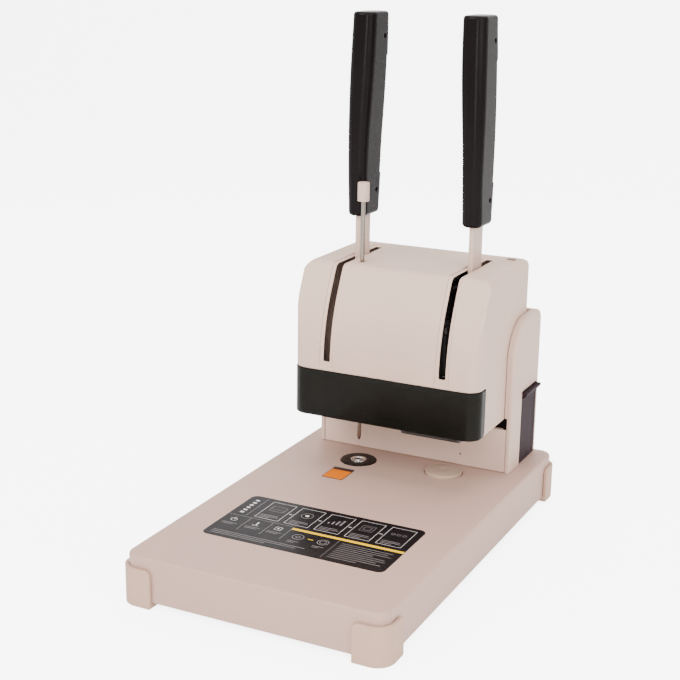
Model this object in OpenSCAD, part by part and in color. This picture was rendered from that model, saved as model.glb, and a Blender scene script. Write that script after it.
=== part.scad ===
// Desk riveting machine for document binding: a table with two stations under one head.
// Left station: a heated lower die and a lever-driven ram with a sliding guide needle.
// Right station: a motor-driven hollow drill on a lever-driven carriage, a paper presser and a turning cutter pad.
// +X is the operator's right, +Y is to the rear, +Z is up. The origin is on the floor, under the middle of the feet.

/* [Table] */
// Width of the table
base_w = 270; // [260:1:280]
// Depth of the table
base_d = 452; // [446:1:460]
// Height of the table top above the floor
table_z = 50; // [50:0.5:50]
// Gap between the floor and the table's lower edge
base_gap = 5.5; // [5:0.5:6]
// Radius of the table's upright corners
base_r = 14; // [13:1:18]
// Wall of the table cover
base_wall = 3; // [2:0.5:3]
// Height of the corner feet
foot_h = 39; // [34:1:40]
// Length of each arm of a corner foot
foot_arm = 31; // [28:1:34]
// Thickness of a foot outside the table wall
foot_t = 4; // [3:0.5:4]

/* [Column] */
// Half the outer width of the column
col_hw = 115; // [115:0.5:116]
// Front plane of the column and of the paper stop
col_y0 = 135; // [134:0.5:136]
// Rear plane of the column
col_y1 = 220; // [220:0.5:221]
// Height of the column's cheeks
col_top = 218; // [214:1:220]
// Wall of the column housing
col_wall = 3; // [2:0.5:3]
// Top of the paper stop panel
stop_top = 99; // [96:1:102]

/* [Head] */
// Half the width of the head
head_hw = 106.2; // [106:0.1:106.5]
// Front plane of the head, low down
head_y0 = 50.5; // [50:0.5:51]
// Rear plane of the head
head_y1 = 205; // [204:0.5:206]
// Underside of the head
head_z0 = 111; // [111:0.5:111]
// Top of the head
head_z1 = 275; // [274:0.5:276]
// Radius of the curved upper front
front_r = 176; // [170:1:178]
// Height where the upper front starts to curve back
front_z = 172; // [168:1:175]
// Wall of the head housing
head_wall = 2.5; // [2:0.25:3]
// Radius of the head's upright corners
head_r = 15; // [13:1:16]
// Top of the smoked guard
guard_top = 163; // [160:1:164]

/* [Levers] */
// Distance of each lever from the middle
lever_x = 65.6; // [65.6:0.1:65.8]
// Lever shaft's distance behind the origin
shaft_y = 154; // [154:0.1:154]
// Lever shaft's height
shaft_z = 186; // [186:0.1:186]
// Position of the upright bar
bar_y = 135; // [134:0.5:136]
// Width of the lever bar
bar_w = 27; // [24:1:27]
// Thickness of the lever bar
bar_t = 5.4; // [5:0.2:5.6]
// Lower end of the grip
grip_z0 = 319; // [315:1:325]
// Upper end of the grip
grip_z1 = 533; // [520:1:540]
// Width of each slot in the head
slot_w = 7.6; // [7.6:0.1:8]
// Radius of the lever shafts
shaft_r = 6; // [5.5:0.5:6]

/* [Gearing] */
// Module of the rack and pinion
gear_m = 3; // [3:0.5:3]
// Number of teeth on the pinion
gear_n = 24; // [24:1:24]
// Pressure angle of the teeth
gear_pa = 20; // [18:1:22]
// Play between the flanks, at the pitch line
gear_play = 0.3; // [0.2:0.05:0.4]

/* [Stations] */
// Distance of each station from the middle
st_x = 47.5; // [47.5:0.5:47.5]
// Distance of the two work axes behind the origin
st_y = 97; // [97:0.5:97]
// Radius of the guide needle
needle_r = 2.25; // [2:0.05:2.3]
// Lower tip of the needle
needle_tip = 73.5; // [72:0.5:75]
// Top of the needle's knob
knob_top = 360; // [350:1:362]
// Radius of the hollow drill bit
bit_r = 3; // [2.5:0.25:3.5]
// Radius of the cutter pad
pad_r = 20; // [18:0.5:20]
// Sideways place of the cutter pad's middle
pad_x = 50; // [49:0.5:51]
// Rearward place of the cutter pad's middle
pad_y = 107; // [105:0.5:107]

/* [Hidden] */
$fn = 64;
eps = 0.01;
BEIGE = [0.86, 0.80, 0.77];
slot_x = lever_x + 0.5;
pitch_r = gear_m * gear_n / 2;
rack_y = shaft_y - pitch_r;
block_y1 = 110;
stroke = 49;

// ---- outlines ----
function arc(cx, cy, r, a0, a1, n) = [for (i = [0:n]) [cx + r * cos(a0 + (a1 - a0) * i / n), cy + r * sin(a0 + (a1 - a0) * i / n)]];
function rrect_pts(x0, y0, x1, y1, r, n = 8) = concat(
  arc(x1 - r, y1 - r, r, 0, 90, n), arc(x0 + r, y1 - r, r, 90, 180, n),
  arc(x0 + r, y0 + r, r, 180, 270, n), arc(x1 - r, y0 + r, r, 270, 360, n));
// rounded block from (x0,y0,z0) to (x1,y1,z1), with upright edges of radius r: exact cylinders at the corners
module rblock(x0, y0, x1, y1, r, z0, z1) {
  translate([0, 0, z0]) linear_extrude(z1 - z0) union() {
    translate([x0 + r, y0]) square([x1 - x0 - 2 * r, y1 - y0]);
    translate([x0, y0 + r]) square([x1 - x0, y1 - y0 - 2 * r]);
    for (p = [[x0 + r, y0 + r], [x1 - r, y0 + r], [x0 + r, y1 - r], [x1 - r, y1 - r]]) translate(p) circle(r);
  }
}
module box(a, b) { translate(a) cube([b[0] - a[0], b[1] - a[1], b[2] - a[2]]); }
module cyl(x, y, z0, z1, r) { translate([x, y, z0]) cylinder(r = r, h = z1 - z0); }
// cylinder along X
module xcyl(x0, x1, y, z, r) { translate([x0, y, z]) rotate([0, 90, 0]) cylinder(r = r, h = x1 - x0); }
// cylinder along Y
module ycyl(y0, y1, x, z, r) { translate([x, y0, z]) rotate([-90, 0, 0]) cylinder(r = r, h = y1 - y0); }
// outline in the Y-Z plane, extruded along X
module side(x0, x1, pts) { translate([x0, 0, 0]) rotate([90, 0, 90]) linear_extrude(x1 - x0) polygon(pts); }
// outline in the X-Z plane, extruded along Y
module frontal(y0, y1, pts) { translate([0, y1, 0]) rotate([90, 0, 0]) linear_extrude(y1 - y0) polygon(pts); }

// ---- table ----
module base_cover() { color(BEIGE) difference() {
  union() {
    rblock(-base_w/2, -base_d/2, base_w/2, base_d/2, base_r, base_gap, table_z - 4);
    rblock(-base_w/2 + 1.2, -base_d/2 + 1.2, base_w/2 - 1.2, base_d/2 - 1.2, base_r - 1.2, table_z - 4, table_z - 1.2);
    rblock(-base_w/2 + 4, -base_d/2 + 4, base_w/2 - 4, base_d/2 - 4, base_r - 4, table_z - 1.2, table_z);
  }
  rblock(-base_w/2 + base_wall, -base_d/2 + base_wall, base_w/2 - base_wall, base_d/2 - base_wall, base_r - base_wall, base_gap - 1, table_z - base_wall);
  cyl(-st_x, st_y, table_z - 5, table_z + 1, 20);
  cyl(pad_x, pad_y, table_z - 5, table_z + 1, pad_r + 0.4);
  box([-104, 141, table_z - 5], [104, 212, table_z + 1]);
} }
module bottom_plate() { color("silver") difference() {
  rblock(-base_w/2 + 4, -base_d/2 + 4, base_w/2 - 4, base_d/2 - 4, base_r - 4, 7, 8.5);
  for (x = [-100, 100], y = [-190, 0, 190]) cyl(x, y, 6, 9, 2.2);
} }
module foot(sx, sy) {
  hw = base_w/2; hd = base_d/2;
  scale_x = sx; scale_y = sy;
  color([0.84, 0.77, 0.73]) difference() {
    intersection() {
      rblock(-hw - foot_t, -hd - foot_t, hw + foot_t, hd + foot_t, base_r + foot_t, 0, foot_h);
      box([sx > 0 ? hw - foot_arm : -hw - 10, sy > 0 ? hd - foot_arm : -hd - 10, -1], [sx > 0 ? hw + 10 : -hw + foot_arm, sy > 0 ? hd + 10 : -hd + foot_arm, foot_h + 1]);
    }
    rblock(-hw - 0.25, -hd - 0.25, hw + 0.25, hd + 0.25, base_r + 0.25, base_gap, foot_h + 1);
  }
}
module front_left_foot() { foot(-1, -1); }
module front_right_foot() { foot(1, -1); }
module rear_left_foot() { foot(-1, 1); }
module rear_right_foot() { foot(1, 1); }
module instruction_label() { color([0.1, 0.1, 0.1]) rblock(-97, -152, 97, -47, 7, table_z, table_z + 0.3); }
module colour_tag() { color([0.95, 0.5, 0.1]) rblock(-61, 33, -36.5, 65.5, 0.8, table_z, table_z + 0.3); }
module base_plate() { color("dimgray") difference() {
  box([-112, 30, 26], [112, 214, 32]);
  cyl(-st_x, st_y, 25, 33, 3.2);
  for (x = [-100, 100], y = [40, 205]) cyl(x, y, 25, 33, 2.6);
  box([69, 160, 25], [120, 220, 33]);
} }
module plate_spacers() { color("silver") for (p = [[-100, 40], [100, 40], [-100, 205], [55, 205], [0, 60]]) difference() {
  cyl(p[0], p[1], 8.5, 26, 6); cyl(p[0], p[1], 8, 27, 2.2);
} }
module frame_screws() { color("gray") {
  for (x = [-100, 100], y = [-190, 0, 190]) union() { cyl(x, y, 4.6, 7, 4); cyl(x, y, 7, 16, 2); }
  for (x = [-70, -20, 30]) union() { cyl(x, 187, 255, 258, 4); cyl(x, 190, 119, 122, 4); }
} }
module lower_die() { color("gainsboro") difference() {
  union() { cyl(-st_x, st_y, 46, 51.2, 9); cyl(-st_x, st_y, 38, 46, 5); }
  cyl(-st_x, st_y, 30, 60, 2.7);
  translate([-st_x, st_y, 51.2]) rotate_extrude() translate([4.6, 0]) circle(1.1, $fn = 24);
} }
module die_heater() { color("silver") difference() {
  box([-st_x - 17, st_y - 17, 32], [-st_x + 17, st_y + 17, 46]);
  cyl(-st_x, st_y, 38, 47, 5.05); cyl(-st_x, st_y, 31, 39, 2.9);
  xcyl(-st_x - 18, -st_x + 18, st_y + 11, 39, 3.1);
} }
module heat_ring() { color([0.08, 0.07, 0.07]) difference() { cyl(-st_x, st_y, 46, 50.6, 19.8); cyl(-st_x, st_y, 45, 52, 9.3); } }
module cutter_pad() { color("white") difference() {
  union() { cyl(pad_x, pad_y, 47, 52.6, pad_r); translate([pad_x, pad_y, 52.6]) cylinder(r1 = pad_r, r2 = pad_r - 0.7, h = 0.7); }
  cyl(pad_x, pad_y, 52.7, 54, 1.2);
} }
module pad_seat() { color("silver") union() { cyl(pad_x, pad_y, 44, 47, 25); cyl(pad_x, pad_y, 32, 44, 12); } }

// ---- column ----
function cheek_pts(o) = concat([[col_y0 + o, table_z + eps]], arc(col_y0 + 42, col_top - 42, 42 - o, 180, 97, 12), [[186, col_top - o]],
  arc(col_y1 - 12, col_top - 12, 12 - o, 90, 0, 6), [[col_y1 - o, table_z + eps]]);
module column_housing() { color(BEIGE) difference() {
  side(-col_hw, col_hw, cheek_pts(0));
  box([-109.5, 150, table_z - 1], [109.5, col_y1 - 4, head_z0 + 1]);
  box([-head_hw - 0.5, 150, table_z - 1], [head_hw + 0.5, col_y1 - 4, col_top - 3.5]);
  box([-109.5, 130, table_z - 1], [109.5, 205.4, head_z0 + 1]);
  box([-head_hw - 0.5, 130, table_z - 1], [head_hw + 0.5, 205.4, col_top + 5]);
  box([105, 166.5, table_z - 1], [118, 216.2, 134.5]);
  box([-72, 210, 66], [72, 225, 192]);
  box([-85, col_y1 - 2, 58], [85, 225, 200]);
  for (x = [-78, 78], z = [64, 194]) ycyl(210, 222, x, z, 1.65);
} }
module paper_stop_panel() { color(BEIGE) difference() {
  union() {
    box([-109.3, 135.6, table_z + 0.3], [109.3, 137.6, stop_top]);
    box([-104, 137.6, stop_top - 2], [104, 141, stop_top]);
  }
  ycyl(135, 138, 57.3, 63, 1.1);
} }
module rear_cover() { color(BEIGE) difference() {
  box([-84.7, col_y1 - 2, 58.3], [84.7, col_y1 + 0.3, 199.7]);
  for (i = [0:6]) box([-40, 210, 140 + 7 * i], [40, 225, 143 + 7 * i]);
  box([-64.2, 210, 70.8], [-35.8, 225, 97.2]);
  box([-19.2, 210, 72.8], [-0.8, 225, 95.2]);
  for (x = [-78, 78], z = [64, 194]) ycyl(210, 225, x, z, 1.7);
} }
module rear_cover_screws() { color("gray") for (x = [-78, 78], z = [64, 194]) union() { ycyl(col_y1 + 0.3, col_y1 + 2.2, x, z, 3.2); ycyl(215.8, col_y1 + 0.3, x, z, 1.6); } }
module power_inlet() { color([0.1, 0.1, 0.1]) union() {
  difference() {
    union() { box([-64, 203, 71], [-36, col_y1 + 0.3, 97]); box([-67, col_y1 + 0.3, 68.5], [-33, col_y1 + 2.3, 99.5]); }
    frontal(207, 226, [[-60.5, 76], [-60.5, 87], [-55.5, 92.5], [-44.5, 92.5], [-39.5, 87], [-39.5, 76]]);
  }
  for (p = [[-57, 81], [-50, 86], [-43, 81]]) box([p[0] - 1, 206.5, p[1] - 2], [p[0] + 1, 218, p[1] + 2]);
} }
module switch_frame() { color([0.1, 0.1, 0.1]) difference() {
  union() { box([-19, 204, 73], [-1, col_y1 + 0.3, 95]); box([-21.5, col_y1 + 0.3, 70.5], [1.5, col_y1 + 2.3, 97.5]); }
  box([-16.6, 207, 74.6], [-3.4, 226, 93.4]);
} }
module switch_rocker() { color([0.75, 0.08, 0.06]) translate([0, col_y1 - 220, 0]) side(-16.2, -3.8, [[213, 82], [213, 86], [220.2, 91.6], [223.6, 90.8], [222, 84], [221.2, 76.6], [217.6, 76.4]]); }
module chip_box() { color([0.33, 0.28, 0.33]) union() {
  difference() { box([72, 167.5, 50.4], [col_hw - 0.4, 215.2, 133]); box([74, 169.5, 52.4], [col_hw - 2.4, 213.2, 140]); }
  translate([0, 167.5, 0]) intersection() {
    translate([col_hw - 1.4, 0, 133]) rotate([-90, 0, 0]) cylinder(r = 6.8, h = 47.7);
    box([col_hw - 1.4, -1, 120], [col_hw + 6, 60, 133]);
  }
} }
module chip_chute() { color([0.2, 0.2, 0.2]) difference() {
  frontal(171, 196.5, [[38, 262], [38, 168], [76, 135], [104, 135], [104, 146], [60, 168], [56, 172], [56, 262]]);
  frontal(172.5, 195, [[39.5, 263], [39.5, 168.7], [76.6, 136.5], [76.6, 130], [102.5, 130], [102.5, 145], [59, 166.7], [54.5, 171.2], [54.5, 263]]);
  box([39.5, 170, 190], [54.5, 173, 263]);
} }

// ---- frame inside the column and head ----
module rib(x0, x1) { side(x0, x1, [[132, 165], [140, 158], [197, 158], [197, 235], [150, 235], [132, 205]]); }
module machine_frame() { color("slategray") difference() {
  union() {
    frontal(197, 202, [[-88, 32], [66, 32], [66, 158], [88, 158], [88, 250], [-88, 250]]);
    box([-88, 150, 32], [66, 197, 36]);
    rib(-84, -80); rib(-30, -26); rib(14, 18); rib(80, 84);
  }
  for (x = [[-85, -79], [-31, -25], [13, 19], [79, 85]]) xcyl(x[0], x[1], shaft_y, shaft_z, 8);
  for (x = [-75, -25, 25]) cyl(x, 170, 31, 37, 2.8);
} }
module top_bracket() { color("slategray") difference() {
  union() { box([-88, 176, 250], [88, 202, 255]); box([-34, 88, 250], [34, 176, 255]); }
  for (x = [-28, 26]) cyl(x, 118, 249, 256, 5.05);
  box([34, 160, 249], [61, 197.5, 256]);
} }
module lower_bracket() { color("slategray") difference() {
  union() { box([-88, 72, 114], [76, 132, 119]); box([-88, 132, 114], [62, 197, 119]); }
  for (x = [-28, 26]) cyl(x, 118, 113, 120, 5.05);
  cyl(-1, st_y, 113, 120, 21);
  box([31, 76, 113], [63, 110, 120]);
  cyl(-st_x, st_y, 113, 120, 10.6);
} }
module lever_springs() { color("silver") for (g = [[-46, -32], [20, 36]]) translate([g[0], shaft_y, shaft_z]) rotate([0, 90, 0]) coil(0, 0, 0, g[1] - g[0], 9, 0.9, 5); }
module guide_rods() { color("gainsboro") for (x = [-28, 26]) cyl(x, 118, 114, 255, 5); }
module ram_guide() { color("slategray") difference() {
  union() { rblock(-62, 83, -36, 109.4, 4, 119, 150); box([-62, 105, 119], [-58.6, 134, 144]); box([-46, 105, 119], [-36, 134, 144]); }
  cyl(-st_x, st_y, 118, 151, 8.05);
} }
module shaft_bushes() { color("goldenrod") for (x = [[-84.5, -79.5], [-30.5, -25.5], [13.5, 18.5], [79.5, 84.5]]) difference() { xcyl(x[0], x[1], shaft_y, shaft_z, 7.95); xcyl(x[0] - 1, x[1] + 1, shaft_y, shaft_z, shaft_r + 0.05); } }
module control_board() { color([0.1, 0.35, 0.2]) union() {
  for (x = [9, 56], z = [59, 102]) ycyl(202, 205, x, z, 2.5);
  box([5, 205, 55], [60, 206.5, 106]);
  box([10, 206.5, 62], [26, 213, 84]); box([32, 206.5, 62], [54, 211, 76]); ycyl(206.5, 214, 40, 92, 6); box([10, 206.5, 90], [24, 210, 100]);
} }

// ---- head casing ----
function head_pts(o, top) = concat([[head_y1 - o, head_z0 - (o > 0 ? 1 : 0)], [head_y0 + o, head_z0 - (o > 0 ? 1 : 0)], [head_y0 + o, front_z]],
  [for (i = [1:14]) let (z = front_z + (top - o - 4 - front_z) * i / 14) [head_y0 + front_r - sqrt(pow(front_r - o, 2) - pow(z - front_z, 2)), z]],
  [[head_y0 + front_r - sqrt(pow(front_r - o, 2) - pow(top - o - front_z, 2)) + 2, top - o]],
  arc(head_y1 - 9, top - 9, 9 - o, 90, 0, 6));
module head_housing() { color(BEIGE) difference() {
  union() {
    intersection() { side(-head_hw, head_hw, head_pts(0, head_z1 - 6)); rblock(-head_hw, head_y0, head_hw, head_y1, head_r, 100, 300); }
    intersection() { side(-99, 99, head_pts(0, head_z1)); rblock(-99, head_y0, 99, head_y1, head_r - 4, 100, 300); }
  }
  intersection() { side(-head_hw + head_wall, head_hw - head_wall, head_pts(head_wall, head_z1 - 6)); rblock(-head_hw + head_wall, head_y0 + head_wall, head_hw - head_wall, head_y1 - head_wall, head_r - head_wall, 100, 300); }
  intersection() { side(-96.5, 96.5, head_pts(head_wall, head_z1)); rblock(-96.5, head_y0 + head_wall, 96.5, head_y1 - head_wall, head_r - head_wall, 100, 300); }
  for (s = [-1, 1]) box([s * slot_x - slot_w/2, 40, 173], [s * slot_x + slot_w/2, 181, 280]);
  cyl(-st_x, st_y, 260, 280, needle_r + 0.6);
  // room for the chip box and the end of the chute
  box([69, 165, 100], [120, 230, 149]);
  // opening for the front guard
  box([-120, 30, 100], [120, 75, guard_top]);
} }
module front_guard() { color([0.12, 0.13, 0.12, 0.85]) difference() {
  union() {
    rblock(-head_hw - 0.7, head_y0 - 0.7, head_hw + 0.7, 120, head_r + 0.7, head_z0, guard_top - 0.2);
    rblock(-head_hw + 2.7, head_y0 + 2.7, head_hw - 2.7, 120, head_r - 2.7, guard_top - 1, guard_top + 7);
  }
  rblock(-head_hw + 4.5, head_y0 + 4.5, head_hw - 4.5, 300, head_r - 4.5, 99, 200);
  box([-120, 74.8, 90], [120, 400, 200]);
  for (s = [-1, 1]) box([s * slot_x - 6, 40, guard_top + 3], [s * slot_x + 6, 70, 200]);
} }
module head_floor() { color([0.15, 0.15, 0.15]) difference() {
  rblock(-101, 55.4, 101, 134.5, 9, head_z0 + 0.5, head_z0 + 2.5);
  cyl(-st_x, st_y, 109, 114, 11);
  box([12, 60, 109], [86, 127, 114]);
  cyl(-1, st_y, 109, 114, 21);
} }

// ---- gearing ----
function inv(a) = tan(a) * 180 / PI - a;
function tooth_half(r) = 90 / gear_n - gear_play / 4 / pitch_r * 180 / PI + inv(gear_pa) - inv(acos(min(1, pitch_r * cos(gear_pa) / r)));
base_cr = pitch_r * cos(gear_pa);
root_cr = pitch_r - 1.25 * gear_m;
tip_cr = pitch_r + gear_m;
FL = [for (i = [0:5]) base_cr + 0.05 + (tip_cr - base_cr - 0.05) * i / 5];
function pinion_pts() = concat([for (k = [-7:1]) let (c = 180 + 180 / gear_n + 360 * k / gear_n) each concat(
  [[root_cr * cos(c - tooth_half(FL[0])), root_cr * sin(c - tooth_half(FL[0]))]],
  [for (r = FL) [r * cos(c - tooth_half(r)), r * sin(c - tooth_half(r))]],
  [for (i = [5:-1:0]) [FL[i] * cos(c + tooth_half(FL[i])), FL[i] * sin(c + tooth_half(FL[i]))]],
  [[root_cr * cos(c + tooth_half(FL[0])), root_cr * sin(c + tooth_half(FL[0]))]])],
  arc(0, 0, root_cr, 208, 214, 2), arc(0, 0, 13, 250, 390, 14), arc(0, 0, root_cr, 70, 75, 2));
module pinion(x0, x1) { translate([x0, shaft_y, shaft_z]) rotate([90, 0, 90]) difference() {
  linear_extrude(x1 - x0) polygon(pinion_pts());
  translate([0, 0, -1]) cylinder(r = shaft_r + 0.02, h = x1 - x0 + 2);
  for (a = [100:42:184]) rotate(a) translate([20.5, 0, -1]) cylinder(r = 5, h = x1 - x0 + 2);
} }
pz = PI * gear_m;
function rack_profile(k0, k1) = let (h = pz / 4 - gear_play / 4, t = tan(gear_pa)) concat(
  [[block_y1, shaft_z + (k0 - 0.5) * pz], [rack_y - 1.25 * gear_m, shaft_z + (k0 - 0.5) * pz]],
  [for (k = [k0:k1]) let (z = shaft_z + k * pz) each [
    [rack_y - 1.25 * gear_m, z - h - 1.25 * gear_m * t], [rack_y + gear_m, z - h + gear_m * t],
    [rack_y + gear_m, z + h - gear_m * t], [rack_y - 1.25 * gear_m, z + h + 1.25 * gear_m * t]]],
  [[rack_y - 1.25 * gear_m, shaft_z + (k1 + 0.5) * pz], [block_y1, shaft_z + (k1 + 0.5) * pz]]);
module rack(x0, x1) { side(x0, x1, rack_profile(-1, 6)); }

// ---- levers ----
module lever_arm(s) { color([0.88, 0.82, 0.79]) difference() {
  union() {
    side(s * lever_x - bar_t/2, s * lever_x + bar_t/2, [[bar_y - bar_w/2, shaft_z - 2], [bar_y, shaft_z - 12], [shaft_y + 6, shaft_z - 13], [shaft_y + 13, shaft_z + 6], [bar_y + bar_w/2, shaft_z + 34],
      [bar_y + bar_w/2, grip_z1 - 38], [bar_y - bar_w/2, grip_z1 - 38]]);
    xcyl(s * lever_x - 5, s * lever_x + 5, shaft_y, shaft_z, 14);
  }
  xcyl(s * lever_x - 7, s * lever_x + 7, shaft_y, shaft_z, shaft_r + 0.02);
} }
module rivet_lever_arm() { lever_arm(-1); }
module drill_lever_arm() { lever_arm(1); }
// height above the grip's lower end, width, depth, corner radius, and lean towards the middle
GRIP = [[0, 18.7, 39.5, 8, 0], [3, 21.6, 43.5, 9.5, 0], [45, 21.8, 51.5, 10, 0.3], [78, 23, 52.5, 10.6, 0.6], [110, 27.2, 53.5, 12, 2.8], [174, 27.2, 52, 12, 4], [210, 26.2, 48, 11.4, 4.8], [214, 22.2, 43, 9.4, 4.8]];
module grip(s) { color([0.1, 0.1, 0.1]) difference() {
  union() for (i = [0:len(GRIP) - 2]) hull() for (g = [GRIP[i], GRIP[i + 1]])
    translate([s * (lever_x - g[4]), bar_y + 1, grip_z0 + g[0] - (g == GRIP[i + 1] ? eps : 0)]) linear_extrude(eps) polygon(rrect_pts(-g[1]/2, -g[2]/2, g[1]/2, g[2]/2, g[3], 7));
  box([s * lever_x - bar_t/2 - 0.05, bar_y - bar_w/2 - 0.05, grip_z0 - 1], [s * lever_x + bar_t/2 + 0.05, bar_y + bar_w/2 + 0.05, grip_z1 - 37.5]);
} }
module rivet_grip() { grip(-1); }
module drill_grip() { grip(1); }
module rivet_shaft() { color("gainsboro") xcyl(-85, -25, shaft_y, shaft_z, shaft_r); }
module drill_shaft() { color("gainsboro") xcyl(13, 85, shaft_y, shaft_z, shaft_r); }
module rivet_pinion() { color("silver") pinion(-58, -48); }
module drill_pinion() { color("silver") pinion(54, 60); }

// ---- rivet station ----
module rivet_ram() { color("gainsboro") difference() {
  union() { cyl(-st_x, st_y, 118, 236, 8); rblock(-60, 84, -37, block_y1, 3, 200, 236); }
  cyl(-st_x, st_y, 117, 237, needle_r + 0.15);
} }
module ram_rack() { color("silver") rack(-58, -48); }
module upper_die() { color("gainsboro") difference() {
  union() { cyl(-st_x, st_y, 101.6, 108, 6); translate([-st_x, st_y, 106]) cylinder(r1 = 6, r2 = 10, h = 2); cyl(-st_x, st_y, 108, 118, 10); }
  cyl(-st_x, st_y, 101, 119, needle_r + 0.15);
} }
module guide_needle() { color("silver") union() {
  cyl(-st_x, st_y, needle_tip + 4, knob_top - 8, needle_r);
  translate([-st_x, st_y, needle_tip]) cylinder(r1 = 0.3, r2 = needle_r, h = 4);
  cyl(-st_x, st_y, 236, 252, 5);
} }
module needle_knob() { color([0.9, 0.86, 0.83]) difference() {
  union() { cyl(-st_x, st_y, knob_top - 20, knob_top - 0.8, 6.2); translate([-st_x, st_y, knob_top - 0.8]) cylinder(r1 = 6.2, r2 = 5.4, h = 0.8); }
  cyl(-st_x, st_y, knob_top - 21, knob_top - 7.9, needle_r + 0.03);
} }

// ---- drill station ----
module drill_carriage() { color("silver") difference() {
  union() {
    rblock(18, 77, 60, block_y1, 3, 168.5, 212);
    rblock(18, 104, 34.5, 127, 3, 168.5, 212);
    box([-34, 84, 206], [20, 122, 212]);
    cyl(-28, 118, 176, 212, 8);
    cyl(-1, st_y, 206, 212, 21);
  }
  cyl(-28, 118, 160, 213, 5.1);
  cyl(26, 118, 160, 213, 5.1);
  cyl(st_x, st_y, 160, 213, 7);
  cyl(st_x, st_y, 160, 174, 10.55);
  cyl(st_x, st_y, 206.4, 213, 10.55);
  cyl(-1, st_y, 200, 213, 4);
  cyl(-1, st_y, 160, 205.99, 19.6);
  for (x = [37, 56.5]) cyl(x, 82.5, 160, 213, 3.2);
} }
module carriage_rack() { color("silver") rack(54, 60); }
module drill_motor() { color("dimgray") difference() { union() { cyl(-1, st_y, 163, 206, 19.5); } cyl(-1, st_y, 190, 207, 3); } }
module drive_belt() { color([0.1, 0.1, 0.1]) translate([0, 0, 216]) linear_extrude(8) difference() {
  polygon(belt_pts(1.8)); polygon(belt_pts(0.3)); } }
belt_r1 = 9; belt_r2 = 6; belt_c = st_x + 1; belt_a = asin((belt_r1 - belt_r2) / belt_c);
function belt_pts(o) = concat(arc(st_x, st_y, belt_r1 + o, -90 - belt_a + 0, 90 + belt_a, 24), arc(-1, st_y, belt_r2 + o, 90 + belt_a, 270 - belt_a, 20));
module spindle_bearings() { color("gainsboro") for (z = [169, 206.6]) difference() { cyl(st_x, st_y, z, z + 5, 10.5); cyl(st_x, st_y, z - 1, z + 6, 6.05); } }
module chip_tube() { color([0.25, 0.25, 0.25]) difference() {
  union() {
    cyl(st_x - 0.8, st_y, 232, 248, 9);
    translate([st_x - 0.8, st_y, 250]) sphere(r = 6.5, $fn = 48);
    ycyl(st_y, 186, st_x - 0.8, 250, 6.5);
    box([42.5, 79, 212], [51, 84.5, 238]);
    box([42.5, 79, 232], [51, 92, 238]);
  }
  cyl(st_x, st_y, 231, 243, 6.6);
  cyl(st_x, st_y, 231, 250, 4.4);
  ycyl(st_y, 187, st_x - 0.8, 250, 4.6);
  box([st_x - 5, 178, 240], [st_x + 3, 187, 250]);
} }
module drill_spindle() { color("gainsboro") difference() {
  union() { cyl(st_x, st_y, 164, 240, 6); cyl(st_x, st_y, 215, 216, 10); cyl(st_x, st_y, 216, 224, 9); cyl(st_x, st_y, 224, 225, 10); }
  cyl(st_x, st_y, 163, 241, 3.3);
} }
module drill_bit() { color("silver") difference() {
  union() { cyl(st_x, st_y, 104.6, 153, bit_r); translate([st_x, st_y, 102.9]) cylinder(r1 = bit_r - 0.45, r2 = bit_r, h = 1.7); cyl(st_x, st_y, 153, 155, 9); cyl(st_x, st_y, 155, 163.9, 10.4); }
  cyl(st_x, st_y, 102, 165, bit_r - 0.6);
} }
module motor_pulley() { color("silver") union() { cyl(-1, st_y, 191, 226, 2.5); cyl(-1, st_y, 215, 216, 7); cyl(-1, st_y, 216, 224, belt_r2); cyl(-1, st_y, 224, 225, 7); } }
module presser_plate() { color("silver") difference() {
  union() {
    rblock(15, 64, 84, 125, 5, 102.6, 106);
    for (x = [37, 56.5]) cyl(x, 82.5, 106, 220, 3);
    for (x = [37, 56.5]) cyl(x, 82.5, 212.2, 215.5, 3.6);
  }
  cyl(st_x, st_y, 92, 109, bit_r + 1.2);
} }
module coil(x, y, z0, z1, r, w, turns) {
  n = 12 * turns; m = 6;
  pts = [for (i = [0:n]) let (a = 360 * i / 12, c = [x + r * cos(a), y + r * sin(a), z0 + w + (z1 - z0 - 2 * w) * i / n]) for (j = [0:m - 1]) let (b = 360 * j / m) [c[0] + w * cos(b) * cos(a), c[1] + w * cos(b) * sin(a), c[2] + w * sin(b)]];
  polyhedron(points = pts, faces = concat([[for (j = [0:m - 1]) j]], [for (i = [0:n - 1], j = [0:m - 1]) [i * m + j, (i + 1) * m + j, (i + 1) * m + (j + 1) % m, i * m + (j + 1) % m]], [[for (j = [m - 1:-1:0]) n * m + j]]), convexity = 10);
}
module presser_springs() { color("silver") for (x = [37, 56.5]) coil(x, 82.5, 106.1, 168.4, 4.3, 0.6, 9); }

base_cover();
bottom_plate();
front_left_foot();
front_right_foot();
rear_left_foot();
rear_right_foot();
instruction_label();
colour_tag();
base_plate();
plate_spacers();
frame_screws();
lower_die();
die_heater();
heat_ring();
cutter_pad();
pad_seat();
column_housing();
paper_stop_panel();
rear_cover();
rear_cover_screws();
power_inlet();
switch_frame();
switch_rocker();
chip_box();
chip_chute();
machine_frame();
top_bracket();
lower_bracket();
lever_springs();
guide_rods();
ram_guide();
shaft_bushes();
control_board();
head_housing();
front_guard();
head_floor();
rivet_lever_arm();
rivet_grip();
rivet_shaft();
rivet_pinion();
drill_lever_arm();
drill_grip();
drill_shaft();
drill_pinion();
rivet_ram();
ram_rack();
upper_die();
guide_needle();
needle_knob();
drill_carriage();
carriage_rack();
drill_motor();
drive_belt();
spindle_bearings();
chip_tube();
drill_spindle();
drill_bit();
motor_pulley();
presser_plate();
presser_springs();
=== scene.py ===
# The looks of the document riveting machine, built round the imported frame.
import math
import time
import bpy
import numpy as np
from mathutils import Matrix, Vector


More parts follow.
